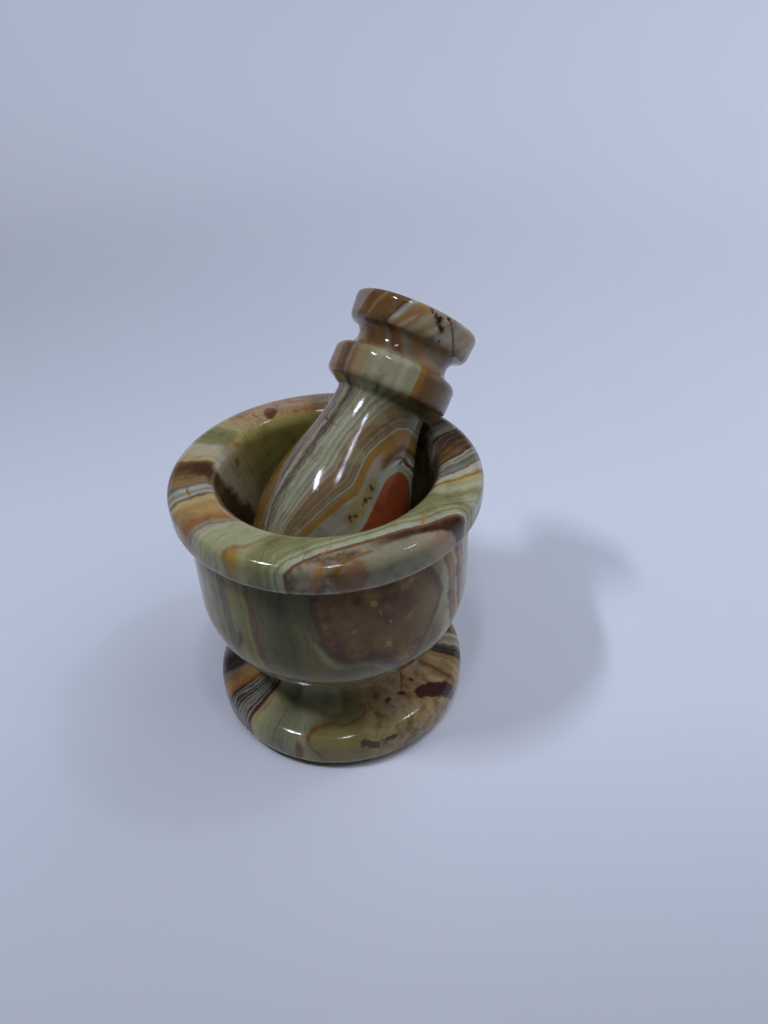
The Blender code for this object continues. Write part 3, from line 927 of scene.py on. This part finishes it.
def polished(graph, point, colour):
    """Polish with faint ripples and tiny open pores, a little uneven in its gloss."""
    ripple = graph.bump(graph.noise(point, 0.35, detail=2), 0.000015)
    normal = graph.bump(graph.noise(point, 3.2, detail=2), 0.00001, ripple)
    gloss = graph.ramp(graph.noise(point, 0.6, detail=3), GLOSS)
    return graph.finish({"Base Color": colour, "Roughness": gloss, "Normal": normal, **GLOW_INSIDE})


def mortar_stone():
    graph = Graph(bpy.data.materials.new("mortar_onyx"))
    point = graph.mapped(graph.coordinates("Object"), VIEW_TURN)
    return polished(graph, point, mortar_colour(graph, point))


def pestle_stone():
    """The pestle's own axes: Z up its axis from the tip, X on the side that faces the viewer."""
    graph = Graph(bpy.data.materials.new("pestle_onyx"))
    own = {"Vector": graph.coordinates("Object"), "Location": PESTLE_TIP, "Rotation": (0, PESTLE_LEAN, 0)}
    upright = graph.node("ShaderNodeMapping", own, vector_type="TEXTURE").outputs[0]
    point = graph.mapped(upright, PESTLE_TURN)
    return polished(graph, point, pestle_colour(graph, point))


# ---- the turned meshes

def arc(centre, radii, start, end, steps=48):
    """Points of an elliptical arc in the (r, z) half plane, angles in degrees."""
    angles = np.radians(np.linspace(start, end, steps + 1))
    return list(zip(centre[0] + radii[0] * np.cos(angles), centre[1] + radii[1] * np.sin(angles)))


def mortar_profile():
    """Cup floor, wall, lip, bowl, neck and foot, from the axis inside to the edge of the base."""
    outline = arc((0, CUP_SPRING_Z), (CUP_RADIUS, CUP_SPRING_Z - CUP_FLOOR_Z), -90, 0)
    outline += arc((CUP_RADIUS + 4.5, HEIGHT - 4.5), (4.5, 4.5), 180, 92)
    outline += arc((RIM_RADIUS - 3.0, HEIGHT - 3.8), (3.0, 3.0), 80, 0)
    outline += arc((RIM_RADIUS - 4.0, HEIGHT - 7.5), (4.0, 4.0), 0, -72)
    outline += [(RIM_RADIUS - 4.8, HEIGHT - 11.5), (RIM_RADIUS - 5.1, HEIGHT - 12.5)]
    top, drop = RIM_RADIUS - 5.1, HEIGHT - 12.5 - BOWL_CORNER_Z
    for t in np.linspace(0.05, 0.95, 30):
        bulge = sin(pi / 2 * min(1.0, 2.2 * t))
        outline.append((top + (BOWL_RADIUS - top) * bulge, HEIGHT - 12.5 - drop * t))
    outline += arc((BOWL_RADIUS - BOWL_ROUND, BOWL_CORNER_Z), (BOWL_ROUND, BOWL_ROUND), 0, -56)
    outline += [(NECK_RADIUS + 1.3, NECK_Z + 2.6)]
    outline += arc((NECK_RADIUS + 7.7, NECK_Z), (7.7, 8.2), 180, 260)
    outline += arc((FOOT_RADIUS - 3.6, 8.9), (3.5, 4.0), 76, 0)
    outline += arc((FOOT_RADIUS - 3.0, FOOT_SIDE_Z), (3.0, FOOT_SIDE_Z), 0, -90)
    return outline + [(0.0, 0.0)]


def pestle_profile():
    """Head, groove, collar, body and round end, from the centre of the top to the tip."""
    top = PESTLE_LENGTH
    outline = [(0.0, top)] + arc((HEAD_RADIUS - 1.5, top - 1.5), (1.5, 1.5), 90, 0)
    outline += [(HEAD_RADIUS - 0.5, top - 7.2), (HEAD_RADIUS - 1.3, top - 8.4)]
    outline += arc((COLLAR_RADIUS - 1.5, top - 12.0), (COLLAR_RADIUS - 1.5 - GROOVE_RADIUS, 3.4), 90, 270)
    outline += [(COLLAR_RADIUS - 0.5, top - 16.2), (COLLAR_RADIUS, top - 17.2), (COLLAR_RADIUS, top - 23.6)]
    outline += [(COLLAR_RADIUS - 0.5, top - 24.6), (COLLAR_RADIUS - 2.1, top - 25.6)]
    neck_z, widest_z = top - 27.4, top - 66.0
    for t in np.linspace(0, 0.98, 60):
        swell = (1 - cos(pi * t ** 0.92)) / 2
        radius = PESTLE_NECK_RADIUS + (CLUB_RADIUS - PESTLE_NECK_RADIUS) * swell
        outline.append((radius, neck_z + (widest_z - neck_z) * t))
    return outline + arc((0, widest_z), (CLUB_RADIUS, widest_z), 0, -90)


def resampled(outline, spacings, soften):
    """The outline at the spacing of each stretch, its corners worn round, and the way along at each point."""
    points = np.array(outline, float)
    along = np.concatenate([[0], np.cumsum(np.hypot(*np.diff(points, axis=0).T))])
    places = [0.0]
    while places[-1] < along[-1]:
        step = next(gap for end, gap in spacings if places[-1] < end)
        places.append(min(places[-1] + step, along[-1]))
    places = np.array(places)
    r = np.interp(places, along, points[:, 0])
    z = np.interp(places, along, points[:, 1])
    for _ in range(soften):
        r[1:-1] = (r[:-2] + 2 * r[1:-1] + r[2:]) / 4
        z[1:-1] = (z[:-2] + 2 * z[1:-1] + z[2:]) / 4
    return r, z, places


def turned_faces(rows, around):
    """Quads between the rings, and a fan of triangles to the point at each end."""
    here = np.arange(around)
    right = (here + 1) % around
    start = (np.arange(rows - 1) * around)[:, None]
    quads = np.stack([start + here, start + around + here, start + around + right, start + right], 2)
    first, last, ring = rows * around, rows * around + 1, (rows - 1) * around
    sides = list(zip(here.tolist(), right.tolist()))
    caps = [(first, j, k) for j, k in sides] + [(last, ring + k, ring + j) for j, k in sides]
    return quads.reshape(-1, 4).tolist() + caps


def turned_piece(name, outline, grid, fields_of, wear, material):
    """A turned mesh in metres that carries its fields; wear says how far each point is cut back."""
    around, spacings, zero_azimuth = grid
    r, z, along = resampled(outline, spacings, 2)
    rows = len(r) - 2
    angles = np.tile(np.linspace(0, 2 * pi, around, endpoint=False), rows)
    radius, height = np.repeat(r[1:-1], around), np.repeat(z[1:-1], around)
    skin = Skin(np.degrees(angles) + zero_azimuth, np.repeat(along[1:-1], around), radius)
    fields = fields_of(skin)
    slope = np.repeat(np.gradient(np.stack([r, z], 1), axis=0)[1:-1], around, axis=0)
    outward = np.stack([-slope[:, 1], slope[:, 0]], 1) / np.linalg.norm(slope, axis=1)[:, None]
    cut = wear(skin, fields)
    radius, height = radius - cut * outward[:, 0], height - cut * outward[:, 1]
    ring = np.stack([radius * np.cos(angles), radius * np.sin(angles), height], 1)
    vertices = np.vstack([ring, [(0, 0, z[0]), (0, 0, z[-1])]]) * MM
    mesh = bpy.data.meshes.new(name)
    mesh.from_pydata(vertices.tolist(), [], turned_faces(rows, around))
    mesh.shade_smooth()
    mesh.materials.append(material)
    for field, values in fields.items():
        values = np.append(values, [values[:around].mean(), values[-around:].mean()])
        mesh.attributes.new(field, "FLOAT", "POINT").data.foreach_set("value", values.astype(np.float32))
    piece = bpy.data.objects.new(name, mesh)
    bpy.context.scene.collection.objects.link(piece)
    return piece


def sunk(field, depth, soft):
    """A hollow: the full depth inside a patch or vein, fading out over its edge."""
    return depth * (1 - ease(field, -soft, soft))


def lathe_waves(skin):
    """The slight waviness that hand polishing leaves."""
    a = np.radians(skin.azimuth)
    return 0.03 * (2 + np.sin(3 * a + skin.along / 9) + np.sin(7 * a - skin.along / 5))


def mortar_wear(skin, fields):
    """How far the mortar's surface is cut back, in millimetres."""
    cut = lathe_waves(skin) * ease(skin.along, 60, 75) * ease(skin.along, 186, 180)
    cut += sunk(fields["spots"], 0.25, 0.5) + sunk(fields["crack"], 0.10, 0.4)
    cut += sunk(fields["specks"], 0.08, 0.4)
    return cut + sunk(np.abs(fields["pocket"]) - 0.2, 0.05, 0.5) * ease(skin.along, 96, 92)


def pestle_wear(skin, fields):
    """How far the pestle's surface is cut back, in millimetres."""
    cut = lathe_waves(skin) * 0.5
    cut += sunk(fields["pits"], 0.15, 0.5) + sunk(fields["head_pits"], 0.3, 0.5)
    cut += sunk(fields["head_specks"], 0.3, 0.4)
    return cut + sunk(fields["head_line"], 0.10, 0.4) + sunk(fields["body_crack"], 0.12, 0.4)


# Points round each piece, and its rows: up to a way along the profile, millimetres between rows
MORTAR_AROUND = 368
MORTAR_ROWS = ((60, 1.2), (66, 0.9), (182, 0.62), (300, 2.0))
PESTLE_AROUND = 320
PESTLE_ROWS = ((16, 0.8), (200, 0.45))


def add_mortar():
    grid = (MORTAR_AROUND, MORTAR_ROWS, degrees(VIEW_TURN) + 90)
    piece = turned_piece("mortar_onyx", mortar_profile(), grid, mortar_fields, mortar_wear, mortar_stone())
    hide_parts("mortar")
    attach(piece, "mortar")


def add_pestle():
    grid = (PESTLE_AROUND, PESTLE_ROWS, degrees(PESTLE_TURN))
    piece = turned_piece("pestle_onyx", pestle_profile(), grid, pestle_fields, pestle_wear, pestle_stone())
    piece.data.transform(Matrix.Translation(PESTLE_TIP) @ Matrix.Rotation(PESTLE_LEAN, 4, "Y"))
    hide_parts("pestle")
    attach(piece, "pestle")


add_camera()
add_lights()
add_floor()
add_mortar()
add_pestle()
